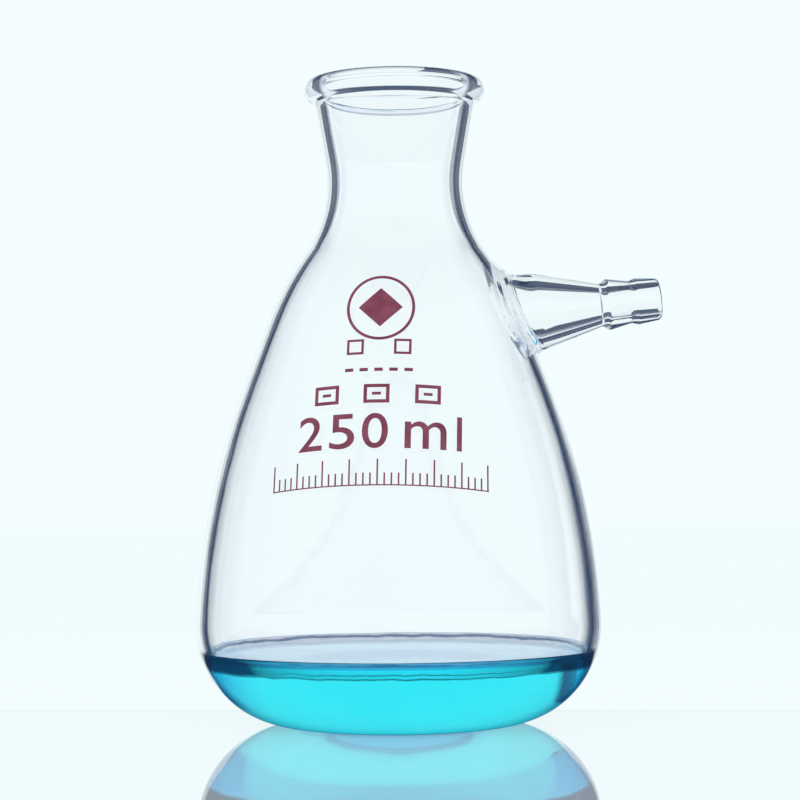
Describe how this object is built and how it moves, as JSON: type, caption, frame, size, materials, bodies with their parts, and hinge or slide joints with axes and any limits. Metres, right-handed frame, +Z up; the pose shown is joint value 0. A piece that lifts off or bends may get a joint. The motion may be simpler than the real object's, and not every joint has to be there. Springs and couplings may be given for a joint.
{
  "type": "filter flask",
  "caption": "Conical glass filter flask with a beaded rim, a barbed side arm for a vacuum hose and blue liquid in it.",
  "frame": {"origin": "on the flask's axis, in the plane of the foot ring that it stands on", "axes": "+Z up along the flask's axis, +X from the axis towards the side arm's nozzle, +Y to complete a right-handed frame"},
  "size_m": [0.0994, 0.0856, 0.1369],
  "materials": {
    "clear_glass": "polished",
    "blue_liquid": "smooth",
    "print": "fired enamel"
  },
  "bodies": {
    "root": {"glass_flask": "clear_glass", "blue_liquid": "blue_liquid"}
  },
  "joints": []
}
